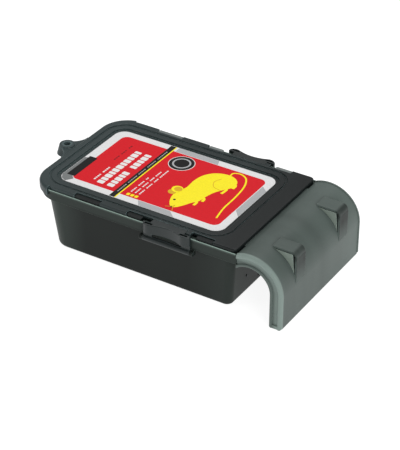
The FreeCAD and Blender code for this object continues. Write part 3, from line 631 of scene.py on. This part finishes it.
# %% Rodent
GROUND_AT, GROUND_SHIFT = 55.2, -6.0
GROUND_SLOPE = math.radians(-20.0)
BODY = [(-41, 13), (-38, 19), (-32, 25), (-25, 29), (-17, 30), (-8, 31), (4, 36), (16, 38),
        (27, 35), (35, 27), (38, 17), (35, 8), (27, 3), (17, 5), (6, 7), (-5, 6), (-14, 4),
        (-22, 6), (-30, 7), (-38, 9)]
TAIL = [(35, 20), (42, 23), (47, 17), (45, 7), (34, -3), (16, -12), (-4, -20), (-20, -29)]
HAUNCH = [(13, 6), (12, 15), (18, 22), (27, 22)]
LEGS = (("fore", -17, 6.0), ("middle", -8, 5.0), ("hind", 19, 9.0), ("rear", 30, 6.0))
WHISKERS = (("upper", 13, 17), ("lower", 10, 6))
TAIL_WIDTH, LEG_WIDTH, HAUNCH_WIDTH, WHISKER_WIDTH = 1.7, 2.8, 0.7, 0.5


def drawn(name, outline, ink, layer):
    """A film whose points are read across and up from a ground line that slopes."""
    cosine, sine = math.cos(GROUND_SLOPE), math.sin(GROUND_SLOPE)
    turned = [(across * cosine - up * sine, across * sine + up * cosine)
              for across, up in outline]
    on_sheet = [(GROUND_AT - up, GROUND_SHIFT + across) for across, up in turned]
    film("rodent_" + name, [on_sheet], ink, layer)


drawn("body", smooth_loop(BODY), "yellow", 2)
drawn("tail", stroke(TAIL, TAIL_WIDTH), "yellow", 3)
drawn("far_ear", oval(-24.5, 33, 3.6, 4.4), "amber", 3)
drawn("ear", oval(-17.5, 33.5, 5.6, 6.0), "yellow", 4)
drawn("ear_hollow", oval(-17.0, 32.8, 3.8, 4.2), "amber", 5)
drawn("eye", oval(-31, 20.5, 1.3, 1.3, 16), "black", 3)
drawn("nose", oval(-41, 12.5, 1.3, 1.2, 16), "black", 3)
for part, hip, reach in LEGS:
    leg = [(hip, 9), (hip - 0.5, 4), (hip - reach, 1.4)]
    drawn("leg_" + part, stroke(leg, LEG_WIDTH), "yellow", 3)
for part, bend, end in WHISKERS:
    whisker = [(-37, 12), (-41, bend), (-45, end)]
    drawn("whisker_" + part, stroke(whisker, WHISKER_WIDTH), "amber", 4)
drawn("haunch", stroke(HAUNCH, HAUNCH_WIDTH), "amber", 3)
print("rodent laid, body points", len(BODY))

# %% [markdown]
# ## Blocks where a label carries its words
# Words would name a maker, so their place holds rows of plain blocks: large ones for a heading
# and small ones for small print. They keep the texture of a printed sheet without one letter.
# Each row is a single film, with block widths that repeat a short, uneven rhythm.

# %% Rows of plain blocks
RHYTHM = (1.0, 0.8, 1.1, 0.7, 0.95, 1.15, 0.75)
BLOCK_CORNER_SHARE = 0.2


def block_row(name, x, y0, y1, height, pitch, gap, ink, layer=2, pauses=()):
    """A row of plain blocks across the sheet; a pause leaves the place of one block bare."""
    outlines = []
    y = y0
    index = 0
    while True:
        width = pitch * RHYTHM[index % len(RHYTHM)]
        if y + width > y1:
            break
        if index not in pauses:
            outlines.append(rounded_panel(x - height / 2, x + height / 2, y, y + width,
                                          min(width, height) * BLOCK_CORNER_SHARE, 3))
        y += width + gap
        index += 1
    film(name, outlines, ink, layer)


block_row("heading_upper", -51.5, -41.0, 31.0, 7.2, 5.6, 1.2, "pale")
block_row("heading_lower", -40.0, -41.0, 33.0, 7.2, 5.6, 1.2, "pale", pauses=(5,))
block_row("strapline", -59.8, -38.0, -10.0, 1.8, 2.4, 0.8, "pale", pauses=(4,))
block_row("side_line", -64.0, 2.0, 36.0, 1.6, 2.6, 0.8, "dark_red", pauses=(3, 7))
block_row("band_line", BAND_AT, -44.0, 44.0, 1.1, 1.9, 0.8, "smoke", 3, pauses=(6, 13, 19, 26))
print("heading, strapline and band rows laid")

# %% [markdown]
# ## Small print
# Three thin rows lie beside the badge, each with a yellow mark at its start.

# %% Small print and its marks
PRINT_AT, PRINT_PITCH = -17.0, 4.6
PRINT_ENDS = (-8.0, 8.0, 14.0)
MARK_HALF, MARK_START, MARK_END = 1.7, -45.0, -41.0
for row, end in enumerate(PRINT_ENDS):
    row_x = PRINT_AT + PRINT_PITCH * row
    block_row(f"small_print_{row}", row_x, -38.0, end, 1.5, 2.0, 0.7, "pale", pauses=(4, 9, 13))
    film(f"row_mark_{row}", [rounded_panel(row_x - MARK_HALF, row_x + MARK_HALF, MARK_START,
                                           MARK_END, 1.0)], "yellow", 2)
print("small print rows", len(PRINT_ENDS))

# %% [markdown]
# ## Lugs in the slots
# Slots are cut through the lid's edge, and the tub's rim fills each with a low lug that keeps
# the lid from sliding. A lug stands a little lower than the lid and stops short of the slot's
# walls, so the lid lifts away over it. Two slots run in under a clip, and their lugs end before
# it. The far lugs are pale with a painted reflection, and the near ones keep the dark grain.

# %% Slot lugs
RIM_TOP, LUG_TOP = 64.7, 68.3
LUG_INNER, LUG_OUTER = 69.4, 73.9
LUG_CLEAR, LUG_CORNER = 0.8, 1.0
clip_low, clip_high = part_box("side_clip_near")
SLOT_SPANS = ((-78.1, -48.7), (-18.8, clip_low.x / MM), (clip_high.x / MM, 75.7))
for number, (start, end) in enumerate(SLOT_SPANS):
    # The far lugs take the pale finish of painted reflection.
    for side, sign, finish in (("near", -1, NEAR_LUG_FINISH), ("far", 1, PAINTED_REFLECTION_LUG_FINISH)):
        low_y, high_y = sorted((sign * LUG_INNER, sign * LUG_OUTER))
        lug = rounded_panel(start + LUG_CLEAR, end - LUG_CLEAR, low_y, high_y, LUG_CORNER, 4)
        plate(f"slot_lug_{side}_{number}", [lug], level_at(RIM_TOP),
              (0, 0, (LUG_TOP - RIM_TOP) * MM), finish, "tub")
print("lugs set in", 2 * len(SLOT_SPANS), "slots")

# %% [markdown]
# ## Webs of the corner blocks
# Each square block on the tunnel is a strap over a three-sided web. The web's face is pale with
# painted light, a lit copy of the tunnel plastic. It is a plate whose long edge follows the arch,
# so its outline is worked out from the arch's centre and radius, and it sits just proud of the
# block's side.

# %% Block webs
WEB_TOP, WEB_PROUD = 66.5, 0.12
WEB_TIP, WEB_TIP_LOW, WEB_TIP_DROP = 4.6, 4.3, 1.0
WEB_START, WEB_END, WEB_STEPS = math.radians(71.0), math.radians(22.0), 12
BLOCK_CENTRE, BLOCK_HALF = 41.0, 8.2
web = [(FACE_X - WEB_TIP, WEB_TOP), (FACE_X - WEB_TIP_LOW, WEB_TOP - WEB_TIP_DROP)]
for step in range(WEB_STEPS + 1):
    turn = WEB_END + (WEB_START - WEB_END) * step / WEB_STEPS
    web.append((ARCH_CENTRE[0] + ARCH_RADIUS * math.cos(turn),
                ARCH_CENTRE[2] + ARCH_RADIUS * math.sin(turn)))
# Each web is a pale skin of painted light.
for name, y, outward in (("near_outer", -BLOCK_CENTRE - BLOCK_HALF, -1),
                         ("near_inner", -BLOCK_CENTRE + BLOCK_HALF, 1),
                         ("far_inner", BLOCK_CENTRE - BLOCK_HALF, -1),
                         ("far_outer", BLOCK_CENTRE + BLOCK_HALF, 1)):
    plate("block_web_painted_light_" + name, [web], along_at(y), (0, outward * WEB_PROUD * MM, 0), PAINTED_LIGHT_WEB_FINISH,
          "tub")
print("web points", len(web))

# %% [markdown]
# ## Straps of the corner blocks
# The strap is the flat front of a block. It carries painted shade that deepens upward, so it has
# a face of its own, a skin laid on the front of the moulding.

# %% Block straps
STRAP_FOOT, STRAP_TOP, STRAP_CORNER, STRAP_PROUD = 36.0, 63.4, 1.2, 0.1
# Each strap is a skin that carries painted shade on the block's front.
for name, centre in (("near", -BLOCK_CENTRE), ("far", BLOCK_CENTRE)):
    strap = rounded_panel(centre - BLOCK_HALF, centre + BLOCK_HALF, STRAP_FOOT, STRAP_TOP,
                          STRAP_CORNER, 4)
    plate("block_strap_painted_shade_" + name, [strap], across_at(FACE_X), (STRAP_PROUD * MM, 0, 0),
          PAINTED_SHADE_STRAP_FINISH, "tub")
print("straps at", -BLOCK_CENTRE, BLOCK_CENTRE)

# %% [markdown]
# ## Foot pads
# Each end flange of the tunnel is thickened at the foot of its outer corner by a small rounded
# pad. It is a plate set into the flange's sunk face.

# %% Foot pads
PAD_LENGTH, PAD_INSET, PAD_FOOT, PAD_TOP, PAD_CORNER = 12.0, 0.5, 0.1, 3.4, 1.6
PAD_DEPTH, PAD_BACK = 1.6, 2.0
pad_end = hood_high.x / MM - PAD_INSET
foot_pad = rounded_panel(pad_end - PAD_LENGTH, pad_end, PAD_FOOT, PAD_TOP, PAD_CORNER, 5)
for name, side in (("near", -1), ("far", 1)):
    plate("foot_pad_" + name, [foot_pad], along_at(side * (hood_high.y / MM - PAD_BACK)),
          (0, side * PAD_DEPTH * MM, 0), FINISHES["hood_plastic"], "tub")
print("foot pads end at x", round(pad_end, 2))

# %% [markdown]
# ## Marks of the mould
# Ejector pins leave shallow round marks on the tub's floor, and the gate leaves a small nub in
# the middle of the closed half. They are seen when the lid is off.

# %% Ejector marks and gate nub
FLOOR_TOP = 2.4
PIN_RADIUS, PIN_PROUD = 4.0, 0.15
GATE_RADIUS, GATE_PROUD = 1.6, 0.6
spots = [(x, y) for x in (-94.0, -22.0) for y in (-42.0, 42.0)] + [(30.0, -52.0), (30.0, 52.0)]
for number, spot in enumerate(spots):
    plate(f"ejector_mark_{number}", [disc(*spot, PIN_RADIUS)], level_at(FLOOR_TOP),
          (0, 0, PIN_PROUD * MM), MARK_FINISH, "tub")
plate("gate_nub", [disc(-22.0, 0.0, GATE_RADIUS, 20)], level_at(FLOOR_TOP),
      (0, 0, GATE_PROUD * MM), MARK_FINISH, "tub")
print("ejector marks", len(spots))

# %% [markdown]
# ## Floor
# A pale seamless floor suits dark plastic, which shows mostly what it reflects. The floor glows
# a little of its own, so it stays even and white, and its own colour is a mid grey, so that it
# doesn't throw too much light up on to the tunnel's front.

# %% Studio floor
FLOOR_SIZE, FLOOR_GAP, FLOOR_GLOW = 14.0, 0.0002, 0.9
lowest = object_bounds()[0]
bpy.ops.mesh.primitive_plane_add(size=FLOOR_SIZE, location=(0, 0, lowest.z - FLOOR_GAP))
floor = bpy.context.object
floor.name = "studio_floor"
floor_paint, floor_shader, floor_sheet = fresh_sheet("floor_paint")
mist = floor_sheet.node("ShaderNodeTexNoise", {}, {"Scale": 3.0, "Detail": 2.0})
plug(mist.blended(rgba(0.27, 0.27, 0.27), rgba(0.30, 0.30, 0.30)), floor_shader, "Base Color")
floor_shader.inputs["Roughness"].default_value = 0.9
floor_shader.inputs["Specular IOR Level"].default_value = 0.1
floor_shader.inputs["Emission Color"].default_value = rgba(1.0, 1.0, 1.0)
floor_shader.inputs["Emission Strength"].default_value = FLOOR_GLOW
floor.data.materials.append(floor_paint)
print("floor at", round(lowest.z, 5))

# %% [markdown]
# ## Light
# Broad lights draw the edges and curves of dark plastic. A key light low on the tunnel's side
# gives its front and near flange their shape, a large one overhead opens up the lid, and a small
# one picks out the closed end. A white room fills in the rest.


# %% Lights
def softbox(name, place, target, size, power):
    """A square area light that faces a target."""
    lamp = bpy.data.lights.new(name, "AREA")
    lamp.size, lamp.energy = size, power
    holder = bpy.data.objects.new(name, lamp)
    holder.location = place
    holder.rotation_euler = (Vector(target) - Vector(place)).to_track_quat("-Z", "Y").to_euler()
    bpy.context.collection.objects.link(holder)


MIDDLE, CLOSED_END_CORNER = (0.0, 0.0, 0.035), (-0.12, -0.07, 0.03)
ROOM_LIGHT = 0.4
softbox("key_light", (1.15, -0.75, 0.45), MIDDLE, 0.6, 9.5)
softbox("top_light", (-0.3, 0.7, 1.8), MIDDLE, 1.3, 21.0)
softbox("left_light", (-0.75, -0.75, 0.30), CLOSED_END_CORNER, 0.3, 2.2)
world = bpy.data.worlds.new("white_room")
world.use_nodes = True
backdrop = world.node_tree.nodes["Background"]
backdrop.inputs["Color"].default_value = rgba(1.0, 1.0, 1.0)
backdrop.inputs["Strength"].default_value = ROOM_LIGHT
bpy.context.scene.world = world
bpy.context.scene.view_settings.view_transform = "Standard"

# %% [markdown]
# ## Camera
# A long lens from over the near tunnel corner: it looks down on the label and still shows the
# arch of the tunnel and the near wall, with little narrowing toward the far side.

# %% Camera
AZIMUTH, ELEVATION = math.radians(32.05), math.radians(32.96)
ASIDE, AWAY, ABOVE = 0.7586, 1.154, 0.910
LENS, SEEN_TO = 134.9, 50.0
camera_data = bpy.data.cameras.new("camera")
camera_data.lens = LENS
camera_data.clip_end = SEEN_TO
camera = bpy.data.objects.new("camera", camera_data)
camera.location = (SHEET_X + ASIDE, -AWAY, ABOVE)
level = math.cos(ELEVATION)
back = Vector((math.sin(AZIMUTH) * level, -math.cos(AZIMUTH) * level, math.sin(ELEVATION)))
camera.rotation_euler = back.to_track_quat("Z", "Y").to_euler()
bpy.context.collection.objects.link(camera)
bpy.context.scene.camera = camera
print("camera", tuple(round(v, 3) for v in camera.location), "lens", camera_data.lens)

# %% [markdown]
# ## Close
